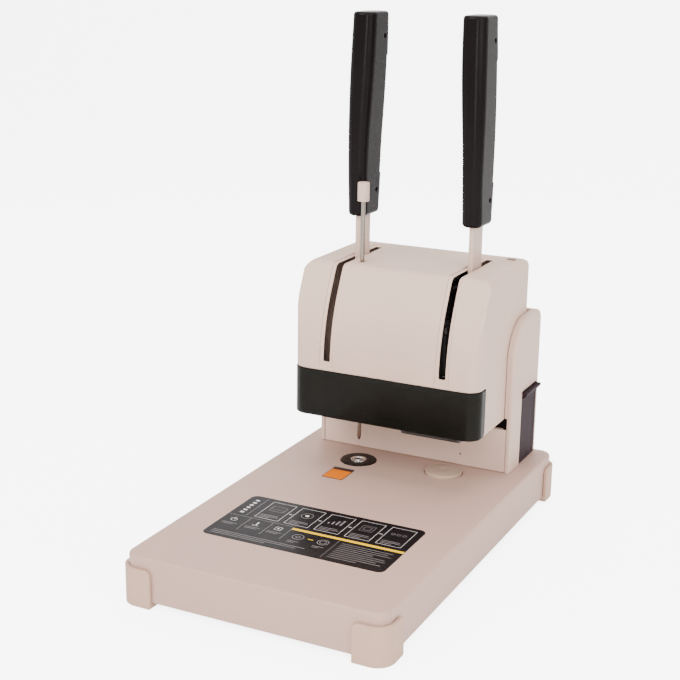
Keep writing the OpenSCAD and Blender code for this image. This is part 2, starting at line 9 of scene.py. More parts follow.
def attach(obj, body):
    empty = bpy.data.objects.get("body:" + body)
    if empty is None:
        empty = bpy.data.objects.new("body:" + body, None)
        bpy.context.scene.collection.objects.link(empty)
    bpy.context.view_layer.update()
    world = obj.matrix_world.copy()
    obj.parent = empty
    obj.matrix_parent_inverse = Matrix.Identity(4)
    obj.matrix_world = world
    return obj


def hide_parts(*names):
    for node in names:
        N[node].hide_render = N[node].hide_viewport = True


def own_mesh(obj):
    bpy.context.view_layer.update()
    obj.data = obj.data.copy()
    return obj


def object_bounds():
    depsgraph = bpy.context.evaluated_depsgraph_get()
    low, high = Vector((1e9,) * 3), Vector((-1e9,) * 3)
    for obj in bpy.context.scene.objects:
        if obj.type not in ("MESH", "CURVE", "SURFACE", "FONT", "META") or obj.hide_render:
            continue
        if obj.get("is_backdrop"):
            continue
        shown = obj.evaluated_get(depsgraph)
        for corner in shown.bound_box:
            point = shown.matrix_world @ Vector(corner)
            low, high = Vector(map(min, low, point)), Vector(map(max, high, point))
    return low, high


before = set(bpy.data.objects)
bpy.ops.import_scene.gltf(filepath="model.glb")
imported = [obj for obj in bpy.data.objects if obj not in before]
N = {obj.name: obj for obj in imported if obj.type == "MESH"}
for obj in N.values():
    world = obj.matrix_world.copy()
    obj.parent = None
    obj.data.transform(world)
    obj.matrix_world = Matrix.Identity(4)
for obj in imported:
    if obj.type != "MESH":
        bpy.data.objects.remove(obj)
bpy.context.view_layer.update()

scene = bpy.context.scene

# ------------------------------------------------------------------ camera (solved from the photograph), metres
R2 = Vector((0.89630151, 0.44318513, 0.0151839))
U2 = Vector((-0.13332613, 0.23666731, 0.96239946))
FW = Vector((-0.4229276, 0.8646245, -0.27121343))
cam_data = bpy.data.cameras.new("camera")
cam = bpy.data.objects.new("camera", cam_data)
scene.collection.objects.link(cam)
cam.matrix_world = Matrix(((R2.x, U2.x, -FW.x, 0.563355), (R2.y, U2.y, -FW.y, -1.186114), (R2.z, U2.z, -FW.z, 0.593751), (0, 0, 0, 1)))
cam_data.sensor_width = 36.0
cam_data.lens = 1365.99 / 680 * 36.0
cam_data.shift_x = -(346.994 - 340) / 680
cam_data.shift_y = (334.970 - 340) / 680
cam_data.clip_start, cam_data.clip_end = 0.05, 20
scene.camera = cam


# ------------------------------------------------------------------ distance fields (millimetres)
def ln(*a):
    s = a[0] * a[0]
    for b in a[1:]:
        s = s + b * b
    return np.sqrt(s)
def rmax(a, b, r):
    """Intersection whose edge has a fillet of radius r."""
    if r <= 0:
        return np.maximum(a, b)
    return np.minimum(np.maximum(a, b), -r) + ln(np.maximum(a + r, 0), np.maximum(b + r, 0))
def rmin(a, b, r):
    return -rmax(-a, -b, r)
def cut(a, b, r=0.0):
    return rmax(a, -b, r)
def rect(U, V, u0, v0, u1, v1, r=0.0):
    qu = np.abs(U - (u0 + u1) / 2) - (u1 - u0) / 2 + r
    qv = np.abs(V - (v0 + v1) / 2) - (v1 - v0) / 2 + r
    return np.minimum(np.maximum(qu, qv), 0) + ln(np.maximum(qu, 0), np.maximum(qv, 0)) - r
def span(W, w0, w1):
    return np.abs(W - (w0 + w1) / 2) - (w1 - w0) / 2
def box(X, Y, Z, lo, hi, r=0.0):
    q = [np.abs(W - (a + b) / 2) - (b - a) / 2 + r for W, a, b in zip((X, Y, Z), lo, hi)]
    return np.minimum(np.maximum(np.maximum(q[0], q[1]), q[2]), 0) + ln(*[np.maximum(k, 0) for k in q]) - r
def disc(U, V, u, v, r):
    return ln(U - u, V - v) - r
def poly(U, V, pts):
    """Signed distance to a closed polygon."""
    U, V = np.broadcast_arrays(np.asarray(U, float), np.asarray(V, float))
    d = np.full(U.shape, 1e12)
    s = np.ones(U.shape)
    n = len(pts)
    for i in range(n):
        ax, ay = pts[i]
        bx, by = pts[i - 1]
        ex, ey = bx - ax, by - ay
        wx, wy = U - ax, V - ay
        t = np.clip((wx * ex + wy * ey) / (ex * ex + ey * ey), 0, 1)
        d = np.minimum(d, (wx - ex * t) ** 2 + (wy - ey * t) ** 2)
        c1, c2, c3 = V >= ay, V < by, ex * wy > ey * wx
        flip = (c1 & c2 & c3) | (~c1 & ~c2 & ~c3)
        s = np.where(flip, -s, s)
    return s * np.sqrt(d)

def nets(f, lo, hi, h):
    """Points and quads of the surface f = 0 inside a box, by the surface-nets method, then moved onto the surface."""
    lo = np.array(lo, float)
    hi = np.array(hi, float)
    n = np.ceil((hi - lo) / h).astype(int) + 1
    ax = [lo[i] + h * np.arange(n[i]) for i in range(3)]
    V = np.array(np.broadcast_to(f(ax[0][:, None, None], ax[1][None, :, None], ax[2][None, None, :]), n), np.float32)
    V[np.abs(V) < 1e-5] = 1e-5
    S = V < 0
    anyi = np.zeros(n - 1, bool)
    alli = np.ones(n - 1, bool)
    for a in (0, 1):
        for b in (0, 1):
            for c in (0, 1):
                q = S[a:n[0] - 1 + a, b:n[1] - 1 + b, c:n[2] - 1 + c]
                anyi |= q
                alli &= q
    act = anyi & ~alli
    I = np.array(np.nonzero(act))
    m = I.shape[1]
    idx = np.full(act.shape, -1, np.int32)
    idx[tuple(I)] = np.arange(m)
    P = np.zeros((m, 3))
    C = np.zeros(m)
    for d in range(3):
        u, v = (d + 1) % 3, (d + 2) % 3
        for a in (0, 1):
            for b in (0, 1):
                o = np.zeros(3, int)
                o[u], o[v] = a, b
                e = np.zeros(3, int)
                e[d] = 1
                va = V[tuple(I + o[:, None])]
                vb = V[tuple(I + (o + e)[:, None])]
                x = (va < 0) != (vb < 0)
                t = va[x] / (va[x] - vb[x])
                Q = np.tile(o.astype(float), (t.size, 1))
                Q[:, d] += t
                P[x] += Q
                C[x] += 1
    P = lo + h * (P / C[:, None] + I.T)
    F = []
    for d in range(3):
        u, v = (d + 1) % 3, (d + 2) % 3
        sl = [slice(None)] * 3
        sh = [slice(None)] * 3
        sl[d], sh[d] = slice(0, n[d] - 1), slice(1, n[d])
        for w in (u, v):
            sl[w] = sh[w] = slice(1, n[w] - 1)
        A, B = S[tuple(sl)], S[tuple(sh)]
        G = np.array(np.nonzero(A != B))
        inside = A[tuple(G)]
        off = np.zeros(3, int)
        off[u] = off[v] = 1
        G = G + off[:, None]
        eu = np.zeros((3, 1), int)
        eu[u] = 1
        ev = np.zeros((3, 1), int)
        ev[v] = 1
        q = np.stack([idx[tuple(G - eu - ev)], idx[tuple(G - ev)], idx[tuple(G)], idx[tuple(G - eu)]], 1)
        q[~inside] = q[~inside][:, ::-1]
        F.append(q)
    F = np.concatenate(F)
    F = F[(F >= 0).all(1)]
    for _ in range(2):
        g, val = grad(f, P)
        P = P - g * np.clip(val, -0.6 * h, 0.6 * h)[:, None]
    return P, F

def grad(f, P, e=0.02):
    x, y, z = P[:, 0], P[:, 1], P[:, 2]
    g = np.stack([f(x + e, y, z) - f(x - e, y, z), f(x, y + e, z) - f(x, y - e, z), f(x, y, z + e) - f(x, y, z - e)], 1)
    L = np.linalg.norm(g, axis=1)
    g = g / np.maximum(L, 1e-9)[:, None]
    return g, f(x, y, z)

def field_mesh(name, f, lo, hi, h, mats, thin=0.25, at=None):
    """A piece whose surface is f = 0 (millimetres), as an object in metres, with exact normals and an attribute that
    marks its outer edges, which the materials lighten as edge wear and painted edge highlight together.
    """
    t0 = time.time()
    P, F = nets(f, lo, hi, h)
    local = P
    if at:
        k = len(P)
        local = np.concatenate([P] * len(at))
        F = np.concatenate([F + i * k for i in range(len(at))])
        P = np.concatenate([P + np.array(o, float) for o in at])
    me = bpy.data.meshes.new(name)
    me.vertices.add(len(P))
    me.vertices.foreach_set("co", (P * 0.001).astype(np.float32).ravel())
    me.loops.add(F.size)
    me.loops.foreach_set("vertex_index", F.astype(np.int32).ravel())
    me.polygons.add(len(F))
    me.polygons.foreach_set("loop_start", np.arange(0, F.size, 4, dtype=np.int32))
    me.update(calc_edges=True)
    me.validate()
    ob = bpy.data.objects.new(name, me)
    bpy.context.scene.collection.objects.link(ob)
    n0 = len(me.polygons)
    if thin:
        mod = ob.modifiers.new("thin", "DECIMATE")
        mod.ratio = thin
        dg = bpy.context.evaluated_depsgraph_get()
        new = bpy.data.meshes.new_from_object(ob.evaluated_get(dg))
        ob.modifiers.clear()
        ob.data = new
        bpy.data.meshes.remove(me)
        me = new
        me.name = name
    Pn = np.zeros(len(me.vertices) * 3, np.float32)
    me.vertices.foreach_get("co", Pn)
    Pn = local if at else Pn.reshape(-1, 3).astype(float) * 1000
    g, _ = grad(f, Pn)
    # mask of the outer edges: the materials lighten them, edge wear and painted edge highlight together
    d = 1.6
    w = np.clip((f(*(Pn - g * d).T) + d) / 1.0, 0, 1)
    at = me.attributes.new("edge_wear_and_highlight", "FLOAT", "POINT")
    at.data.foreach_set("value", w.astype(np.float32))
    me.polygons.foreach_set("use_smooth", np.ones(len(me.polygons), bool))
    vi = np.zeros(len(me.loops), np.int32)
    me.loops.foreach_get("vertex_index", vi)
    tot = np.zeros(len(me.polygons), np.int32)
    me.polygons.foreach_get("loop_total", tot)
    pn = np.zeros(len(me.polygons) * 3, np.float32)
    me.polygons.foreach_get("normal", pn)
    area = np.zeros(len(me.polygons), np.float32)
    me.polygons.foreach_get("area", area)
    pn = np.repeat(pn.reshape(-1, 3), tot, axis=0)
    big = np.repeat(area > 2.5 * (h * 0.001) ** 2, tot)
    ln_ = g[vi]
    near = (ln_ * pn).sum(1) > 0.5
    L = np.where((big | ~near)[:, None], pn, ln_)
    me.normals_split_custom_set(L.astype(np.float32))
    for m in (mats if isinstance(mats, (list, tuple)) else [mats]):
        me.materials.append(m)
    print("FIELD", name, n0, "->", len(me.polygons), "faces %.1f s" % (time.time() - t0))
    return ob

def ride_slot(ob, body, slot, *nodes):
    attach(ob, body)
    if nodes:
        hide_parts(*nodes)
    return ob

# ------------------------------------------------------------------ materials
def material(name, col, rough, var=0.05, fine=700.0, bump=0.12, rvar=0.08, metal=0.0, edge_wear_and_highlight=0.0, coat=0.0, alpha=1.0, stretch=(1, 1, 1), tint=None, ior=1.5, blotch=9.0, bump_mm=0.12, spec=0.5):
    m = bpy.data.materials.new(name)
    m.use_nodes = True
    nt = m.node_tree
    nt.nodes.clear()
    out = nt.nodes.new("ShaderNodeOutputMaterial")
    p = nt.nodes.new("ShaderNodeBsdfPrincipled")
    nt.links.new(p.outputs[0], out.inputs[0])
    p.inputs["Metallic"].default_value = metal
    p.inputs["IOR"].default_value = ior
    p.inputs["Specular IOR Level"].default_value = spec
    p.inputs["Coat Weight"].default_value = coat
    p.inputs["Alpha"].default_value = alpha
    tc = nt.nodes.new("ShaderNodeTexCoord")
    mp = nt.nodes.new("ShaderNodeMapping")
    mp.inputs["Scale"].default_value = stretch
    nt.links.new(tc.outputs["Object"], mp.inputs[0])
    big = nt.nodes.new("ShaderNodeTexNoise")
    big.inputs["Scale"].default_value = blotch
    big.inputs["Detail"].default_value = 4
    nt.links.new(mp.outputs[0], big.inputs["Vector"])
    small = nt.nodes.new("ShaderNodeTexNoise")
    small.inputs["Scale"].default_value = fine
    small.inputs["Detail"].default_value = 3
    nt.links.new(mp.outputs[0], small.inputs["Vector"])
    dark = [c * (1 - var) for c in col]
    light = [min(1, c * (1 + var)) for c in col]
    if tint:
        dark = [d * t for d, t in zip(dark, tint)]
    mix = nt.nodes.new("ShaderNodeMix")
    mix.data_type = "RGBA"
    mix.inputs[6].default_value = (*dark, 1)
    mix.inputs[7].default_value = (*light, 1)
    add = nt.nodes.new("ShaderNodeMath")
    add.operation = "MULTIPLY_ADD"
    nt.links.new(small.outputs[0], add.inputs[0])
    add.inputs[1].default_value = 0.35
    nt.links.new(big.outputs[0], add.inputs[2])
    mr = nt.nodes.new("ShaderNodeMapRange")
    mr.inputs[1].default_value, mr.inputs[2].default_value = 0.45, 0.9
    nt.links.new(add.outputs[0], mr.inputs[0])
    nt.links.new(mr.outputs[0], mix.inputs[0])
    col_out = mix.outputs[2]
    at = nt.nodes.new("ShaderNodeAttribute")
    at.attribute_name = "edge_wear_and_highlight"
    # outer edges mixed towards a lighter colour, broken up by the blotch noise: edge wear and painted edge highlight
    # together
    if edge_wear_and_highlight > 0:
        w = nt.nodes.new("ShaderNodeMath")
        w.operation = "MULTIPLY"
        nt.links.new(at.outputs["Fac"], w.inputs[0])
        w2 = nt.nodes.new("ShaderNodeMapRange")
        w2.inputs[1].default_value, w2.inputs[2].default_value = 0.4, 0.62
        w2.inputs[4].default_value = edge_wear_and_highlight
        nt.links.new(big.outputs[0], w2.inputs[0])
        nt.links.new(w2.outputs[0], w.inputs[1])
        mw = nt.nodes.new("ShaderNodeMix")
        mw.data_type = "RGBA"
        nt.links.new(w.outputs[0], mw.inputs[0])
        nt.links.new(col_out, mw.inputs[6])
        mw.inputs[7].default_value = (*[min(1, c * 1.25 + 0.03) for c in col], 1)
        col_out = mw.outputs[2]
    nt.links.new(col_out, p.inputs["Base Color"])
    rr = nt.nodes.new("ShaderNodeMapRange")
    rr.inputs[1].default_value, rr.inputs[2].default_value = 0.3, 0.75
    rr.inputs[3].default_value, rr.inputs[4].default_value = max(0.02, rough - rvar), min(1, rough + rvar)
    nt.links.new(big.outputs[0], rr.inputs[0])
    nt.links.new(rr.outputs[0], p.inputs["Roughness"])
    b = nt.nodes.new("ShaderNodeBump")
    b.inputs["Strength"].default_value = bump
    b.inputs["Distance"].default_value = bump_mm * 0.001
    nt.links.new(small.outputs[0], b.inputs["Height"])
    nt.links.new(b.outputs[0], p.inputs["Normal"])
    return m

def srgb(r, g, b):
    return [((c / 255 + 0.055) / 1.055) ** 2.4 if c > 10 else c / 255 / 12.92 for c in (r, g, b)]

M = {}
M["beige"] = material("beige_plastic", (0.520, 0.370, 0.303), 0.50, spec=0.3, var=0.022, fine=1500, bump=0.22, edge_wear_and_highlight=0.35)
# table and feet: the beige made darker and more saturated, painted shade for faces that turn away from the lights
M["table"] = material("table_plastic_with_painted_shade", (0.405, 0.265, 0.216), 0.44, spec=0.3, var=0.022, fine=1500, bump=0.22, edge_wear_and_highlight=0.3)
M["foot"] = material("foot_plastic", (0.415, 0.270, 0.198), 0.52, spec=0.3, var=0.022, fine=1500, bump=0.25, edge_wear_and_highlight=0.35)
M["grip"] = material("black_grip", (0.0045, 0.0033, 0.0034), 0.25, ior=1.16, spec=0.5, rvar=0.04, var=0.15, fine=1800, bump=0.03, edge_wear_and_highlight=0.15)
M["black"] = material("black_plastic", (0.008, 0.0075, 0.0075), 0.45, spec=0.25, var=0.12, fine=1600, bump=0.2, edge_wear_and_highlight=0.15)
M["smoke"] = material("smoked_guard", (0.0055, 0.0050, 0.0038), 0.16, var=0.2, fine=60, bump=0.02, rvar=0.05, alpha=0.955, blotch=22, ior=1.2, spec=0.4)
M["drawer"] = material("drawer_plastic", (0.020, 0.011, 0.015), 0.62, ior=1.22, spec=0.3, var=0.06, fine=1500, bump=0.25, edge_wear_and_highlight=0.25)
M["label"] = material("label_film", (0.0055, 0.0042, 0.0050), 0.26, ior=1.28, spec=0.3, var=0.1, fine=900, bump=0.04, rvar=0.05)
M["ink"] = material("label_white", srgb(196, 190, 188), 0.4, var=0.06, fine=900, bump=0.04)
M["grey_ink"] = material("label_grey", srgb(120, 113, 114), 0.4, var=0.06, fine=900, bump=0.04)
M["yellow"] = material("label_yellow", (0.72, 0.43, 0.0), 0.4, spec=0.08, var=0.05, fine=900, bump=0.04)
M["orange"] = material("tag_orange", (0.60, 0.14, 0.0), 0.38, ior=1.2, spec=0.05, var=0.05, fine=900, bump=0.04)
M["tag_dark"] = material("tag_border", (0.016, 0.008, 0.006), 0.4, spec=0.2, var=0.1, fine=900, bump=0.04)
M["steel"] = material("steel", (0.56, 0.54, 0.51), 0.26, var=0.10, fine=500, bump=0.10, metal=1.0, stretch=(1, 1, 0.06), edge_wear_and_highlight=0.2)
M["needle"] = material("needle_steel", (0.22, 0.19, 0.165), 0.22, var=0.12, fine=500, bump=0.08, metal=1.0, stretch=(1, 1, 0.06))
M["plate"] = material("coated_sheet", srgb(92, 94, 98), 0.45, var=0.08, fine=900, bump=0.2, edge_wear_and_highlight=0.4)
M["zinc"] = material("zinc", (0.36, 0.36, 0.36), 0.34, var=0.14, fine=250, bump=0.1, metal=1.0, blotch=40)
M["alloy"] = material("alloy", (0.60, 0.60, 0.61), 0.36, var=0.08, fine=600, bump=0.12, metal=1.0, stretch=(0.1, 1, 1))
M["bronze"] = material("bronze", (0.50, 0.34, 0.15), 0.38, var=0.12, fine=700, bump=0.12, metal=1.0)
# cutter pad: its own yellowish beige tint, darkened further as painted shade for the throat under the head
M["nylon"] = material("nylon", (0.36, 0.25, 0.19), 0.34, spec=0.3, var=0.03, fine=500, bump=0.12)
M["ring"] = material("ring_black", (0.0045, 0.0025, 0.0018), 0.42, spec=0.15, var=0.12, fine=1300, bump=0.2)
M["board"] = material("board_green", srgb(38, 92, 58), 0.4, var=0.15, fine=300, bump=0.2)
M["rubber"] = material("belt_rubber", srgb(26, 26, 26), 0.75, var=0.15, fine=900, bump=0.35)
M["red"] = material("rocker_red", srgb(176, 34, 28), 0.28, var=0.06, fine=900, bump=0.04, edge_wear_and_highlight=0.15)
M["bar"] = material("lever_paint", (0.500, 0.362, 0.297), 0.40, spec=0.35, var=0.03, fine=1400, bump=0.15, edge_wear_and_highlight=0.3)
M["copper"] = material("motor_can", (0.20, 0.20, 0.205), 0.38, var=0.1, fine=400, bump=0.1, metal=1.0, stretch=(1, 1, 0.1))
M["dark_steel"] = material("dark_steel", (0.16, 0.15, 0.145), 0.34, var=0.12, fine=500, bump=0.1, metal=1.0, edge_wear_and_highlight=0.3)
M["oiled"] = material("oiled_steel", (0.020, 0.019, 0.018), 0.5, var=0.15, fine=500, bump=0.1, metal=0.4, spec=0.3)
# presser: dark coating with strongly lightened outer edges, a painted edge highlight as well as worn coating
M["presser"] = material("presser_black", (0.05, 0.047, 0.045), 0.34, var=0.1, fine=900, bump=0.12, metal=0.75, edge_wear_and_highlight=0.9)
M["hole"] = material("hole_dark", srgb(22, 20, 20), 0.7, var=0.1, fine=900, bump=0.1)

CAD_MATS = dict(bottom_plate="zinc", base_plate="plate", plate_spacers="zinc", frame_screws="zinc", die_heater="alloy", pad_seat="alloy",
    chip_chute="black", machine_frame="plate", top_bracket="plate", lower_bracket="plate", guide_rods="dark_steel", ram_guide="alloy", shaft_bushes="bronze",
    control_board="board", head_floor="black", rivet_shaft="oiled", rivet_pinion="oiled", drill_shaft="oiled", drill_pinion="oiled", rivet_ram="oiled", ram_rack="oiled",
    upper_die="steel", guide_needle="needle", drill_carriage="oiled", carriage_rack="oiled", drill_motor="copper", drive_belt="rubber", spindle_bearings="oiled", chip_tube="black",
    drill_spindle="dark_steel", drill_bit="dark_steel", motor_pulley="oiled", instruction_label="label", colour_tag="orange", base_cover="table", column_housing="beige", paper_stop_panel="beige",
    rear_cover="beige", rear_cover_screws="zinc", power_inlet="black", switch_frame="black", switch_rocker="red", chip_box="drawer", lever_springs="zinc", head_housing="beige", front_guard="smoke",
    front_left_foot="foot", front_right_foot="foot", rear_left_foot="foot", rear_right_foot="foot", rivet_lever_arm="bar", drill_lever_arm="bar", rivet_grip="grip", drill_grip="grip",
    needle_knob="bar", lower_die="steel", heat_ring="ring", cutter_pad="nylon", presser_plate="steel", presser_springs="zinc")
for n, o in N.items():
    o.data.materials.clear()
    o.data.materials.append(M[CAD_MATS[n]])
for n in ("bottom_plate", "base_plate", "machine_frame", "top_bracket", "lower_bracket", "ram_guide", "upper_die", "drill_carriage", "drill_bit", "frame_screws", "head_floor", "rivet_ram", "drill_spindle", "rivet_shaft", "drill_shaft", "guide_rods", "pad_seat", "die_heater"):
    b = N[n].modifiers.new("edges", "BEVEL")
    b.width = 0.0004
    b.segments = 2
    b.limit_method = "ANGLE"
    b.angle_limit = math.radians(40)
    b.harden_normals = True

# ------------------------------------------------------------------ small builders
def solid(name, verts, faces, mats, fmat=None, smooth=None):
    me = bpy.data.meshes.new(name)
    me.from_pydata([tuple(c * 0.001 for c in v) for v in verts], [], faces)
    me.update()
    ob = bpy.data.objects.new(name, me)
    scene.collection.objects.link(ob)
    for m in mats:
        me.materials.append(m)
    if fmat:
        me.polygons.foreach_set("material_index", np.array(fmat, np.int32))
    if smooth is not None:
        me.polygons.foreach_set("use_smooth", np.ones(len(me.polygons), bool))
        me.set_sharp_from_angle(angle=math.radians(smooth))
    return ob

def arc_pts(cx, cy, r, a0, a1, n):
    return [(cx + r * math.cos(math.radians(a0 + (a1 - a0) * i / n)), cy + r * math.sin(math.radians(a0 + (a1 - a0) * i / n))) for i in range(n + 1)]

def rrect(x0, y0, x1, y1, r, n=6):
    return arc_pts(x1 - r, y1 - r, r, 0, 90, n) + arc_pts(x0 + r, y1 - r, r, 90, 180, n) + arc_pts(x0 + r, y0 + r, r, 180, 270, n) + arc_pts(x1 - r, y0 + r, r, 270, 360, n)

def prism(acc, pts, z0, z1, mi, edge=0.0):
    V, F, K = acc
    b = len(V)
    n = len(pts)
    rows = [(0.0, z0), (0.0, z1 - edge), (edge, z1)] if edge else [(0.0, z0), (0.0, z1)]
    cx = sum(p[0] for p in pts) / n
    cy = sum(p[1] for p in pts) / n
    for o, z in rows:
        for x, y in pts:
            d = max(1e-6, math.hypot(x - cx, y - cy))
            V.append((x - (x - cx) / d * o, y - (y - cy) / d * o, z))
    for k in range(len(rows) - 1):
        for i in range(n):
            j = (i + 1) % n
            F.append((b + k * n + i, b + k * n + j, b + (k + 1) * n + j, b + (k + 1) * n + i))
            K.append(mi)
    F.append(tuple(b + i for i in range(n - 1, -1, -1)))
    K.append(mi)
    F.append(tuple(b + (len(rows) - 1) * n + i for i in range(n)))
    K.append(mi)

def lathe(name, prof, x, y, mats, seg=72, fmat=None):
    """A closed turned piece: prof is a closed loop of (radius, z)."""
    V, F, K = [], [], []
    n = len(prof)
    for i in range(seg):
        a = 2 * math.pi * i / seg
        for r, z in prof:
            V.append((x + r * math.cos(a), y + r * math.sin(a), z))
    for i in range(seg):
        j = (i + 1) % seg
        for k in range(n):
            l = (k + 1) % n
            if prof[k][0] < 1e-6 and prof[l][0] < 1e-6:
                continue
            F.append((i * n + k, j * n + k, j * n + l, i * n + l))
            K.append(fmat[k] if fmat else 0)
    ob = solid(name, V, F, mats, K)
    import bmesh
    bm = bmesh.new()
    bm.from_mesh(ob.data)
    bmesh.ops.remove_doubles(bm, verts=bm.verts, dist=1e-7)
    bmesh.ops.dissolve_degenerate(bm, dist=1e-8, edges=bm.edges)
    bmesh.ops.recalc_face_normals(bm, faces=bm.faces)
    bm.to_mesh(ob.data)
    bm.free()
    ob.data.polygons.foreach_set("use_smooth", np.ones(len(ob.data.polygons), bool))
    ob.data.set_sharp_from_angle(angle=math.radians(35))
    return ob

def coil(name, ends, r, w, turns, mats, seg=20, sides=8, axis="Z"):
    """Round-wire springs with closed end turns."""
    V, F = [], []
    for x, y, z0, z1 in ends:
        n = int(seg * turns)
        b = len(V)
        for i in range(n + 1):
            t = i / n
            a = 2 * math.pi * turns * t
            s = min(1.0, max(0.0, (t * turns - 0.9) / (turns - 1.8)))
            zc = z0 + w + (z1 - z0 - 2 * w) * (0.03 * min(1, t * turns / 0.9) + 0.94 * s + 0.03 * max(0, (t * turns - turns + 0.9) / 0.9))
            c = (r * math.cos(a), r * math.sin(a))
            for j in range(sides):
                q = 2 * math.pi * j / sides
                p = (c[0] + w * math.cos(q) * math.cos(a), c[1] + w * math.cos(q) * math.sin(a), zc + w * math.sin(q))
                V.append((x + p[0], y + p[1], p[2]) if axis == "Z" else (p[2], y - p[1], x + p[0]))
        for i in range(n):
            for j in range(sides):
                k = (j + 1) % sides
                F.append((b + i * sides + j, b + (i + 1) * sides + j, b + (i + 1) * sides + k, b + i * sides + k))
        F.append(tuple(b + j for j in range(sides)))
        F.append(tuple(b + n * sides + j for j in range(sides - 1, -1, -1)))
    return solid(name, V, F, mats, smooth=60)

# ------------------------------------------------------------------ table and feet
def f_base(X, Y, Z):
    o = rmax(rect(X, Y, -135, -226, 135, 226, 14), Z - 50, 2.6)
    o = rmax(o, 5.5 - Z, 0.8)
    o = np.maximum(o, -np.maximum(rect(X, Y, -131.5, -222.5, 131.5, 222.5, 11), Z - 46.5))
    o = cut(o, np.maximum(disc(X, Y, -47.5, 97, 20.05), 40 - Z), 0.5)
    o = cut(o, np.maximum(disc(X, Y, 50, 107, 20.6), 40 - Z), 0.5)
    return o
ride_slot(field_mesh("table_cover", f_base, (-137, -228, 4), (137, 228, 52), 1.25, M["table"], thin=0.22), "stand", "beige_plastic", "base_cover")

for sx, sy, nm in ((-1, -1, "front_left_foot"), (1, -1, "front_right_foot"), (-1, 1, "rear_left_foot"), (1, 1, "rear_right_foot")):
    def f_foot(X, Y, Z, sx=sx, sy=sy):
        u, v = X * sx, Y * sy
        o = rmax(rect(u, v, -139, -230, 139, 230, 18), Z - 39, 1.0)
        o = rmax(o, -Z, 0.8)
        o = rmax(o, np.maximum(rect(u, Z, 104, -60, 300, 39, 7), 104 - u), 1.0)
        o = rmax(o, np.maximum(rect(v, Z, 195, -60, 400, 39, 7), 195 - v), 1.0)
        o = cut(o, np.maximum(rect(u, v, -135.35, -226.35, 135.35, 226.35, 14.35), 5.5 - Z), 0.35)
        return o
    lo = (min(sx * 102, sx * 141), min(sy * 193, sy * 232), -2)
    hi = (max(sx * 102, sx * 141), max(sy * 193, sy * 232), 41)
    ride_slot(field_mesh(nm + "_shell", f_foot, lo, hi, 0.7, M["foot"], thin=0.5), "stand", "foot_plastic", nm)

# instruction sticker: plain frames, bars and dots
acc = ([], [], [])
prism(acc, rrect(-97, -152, 97, -47, 7), 50.0, 50.28, 0, 0.12)
Z0, Z1 = 50.275, 50.3
def strip(x0, y0, x1, y1, mi=1):
    prism(acc, [(x0, y0), (x1, y0), (x1, y1), (x0, y1)], Z0, Z1, mi)
def frame_box(x0, y0, x1, y1, t=0.45, mi=1):
    strip(x0, y0, x1, y0 + t, mi); strip(x0, y1 - t, x1, y1, mi); strip(x0, y0 + t, x0 + t, y1 - t, mi); strip(x1 - t, y0 + t, x1, y1 - t, mi)
def dot(cx, cy, r, mi=1, hollow=0.0):
    if not hollow:
        prism(acc, arc_pts(cx, cy, r, 0, 345, 23), Z0, Z1, mi)
        return
    for i in range(16):
        a0, a1 = 22.5 * i, 22.5 * (i + 1)
        prism(acc, arc_pts(cx, cy, r, a0, a1, 2) + arc_pts(cx, cy, r - hollow, a1, a0, 2), Z0, Z1, mi)
strip(-78.6, -96, -78.2, -50, 2)
for i in range(6):
    strip(-88.5, -92 + i * 6.4, -84.5, -89 + i * 6.4, 1)
for k in range(5):
    x0 = -70 + k * 33.2
    frame_box(x0, -95, x0 + 26.5, -53.5, 0.45)
    cx, cy = x0 + 13.2, -69.5
    if k == 0:
        frame_box(cx - 8, cy - 5, cx + 8, cy + 7, 0.4, 2); strip(cx - 8, cy - 0.4, cx + 8, cy, 2)
    elif k == 1:
        dot(cx, cy, 6.4, 2, 0.5); dot(cx, cy, 2.2, 1)
    elif k == 2:
        for j in range(4):
            strip(cx - 8 + j * 4.4, cy - 6, cx - 6.4 + j * 4.4, cy - 6 + 3.2 * (j + 1), 2)
    elif k == 3:
        frame_box(cx - 7, cy - 6, cx + 7, cy + 7, 0.4, 2); frame_box(cx - 4, cy - 3, cx + 4, cy + 4, 0.4, 2)
    else:
        for j in range(3):
            dot(cx - 6 + 6 * j, cy + 1, 2.1, 2, 0.4)
    for j in range(3):
        strip(x0 + 3, -86 - j * 2.9, x0 + (22, 23.5, 15)[j], -85.3 - j * 2.9, 2)
    if k < 4:
        strip(x0 + 28, -74.4, x0 + 31.4, -73.4, 1)
strip(-22, -105.5, 96.6, -101.2, 3)
strip(-96, -99.6, -24, -99.2, 2)
for x in (-70, -45, -22.4):
    strip(x, -130, x + 0.4, -100, 2)
strip(31, -148, 31.4, -108, 2)
for x, k in ((-84, 0), (-58, 1), (-34, 2)):
    if k == 0:
        dot(x, -110, 3.4, 1, 0.5); strip(x - 0.3, -110, x + 0.3, -105.4, 1)
    elif k == 1:
        strip(x - 0.7, -112, x + 0.7, -105.5, 1); strip(x - 3.5, -114.3, x + 3.5, -113.6, 1)
    else:
        frame_box(x - 3.6, -113.6, x + 3.6, -106.4, 0.5, 1); dot(x, -110, 1.2, 1)
    for j in range(2):
        strip(x - 8, -119 - j * 2.8, x + (8, 5)[j], -118.4 - j * 2.8, 2)
dot(-8, -118, 6.0, 2, 0.6); dot(-8, -118, 2.4, 2, 0.5); dot(19, -118, 6.0, 2, 0.6); dot(19, -118, 3.6, 2, 0.5)
strip(2.6, -118.5, 8.4, -117.5, 3)
for x in (-14, 13):
    for j in range(2):
        strip(x, -129 - j * 2.8, x + (12, 8)[j], -128.4 - j * 2.8, 2)
for j in range(9):
    strip(36, -112 - j * 4.0, 36 + (54, 50, 55, 38, 52, 54, 47, 53, 30)[j], -111.35 - j * 4.0, 2)
for j in range(3):
    strip(-90, -139 - j * 3.4, -90 + (100, 92, 60)[j], -138.4 - j * 3.4, 2)
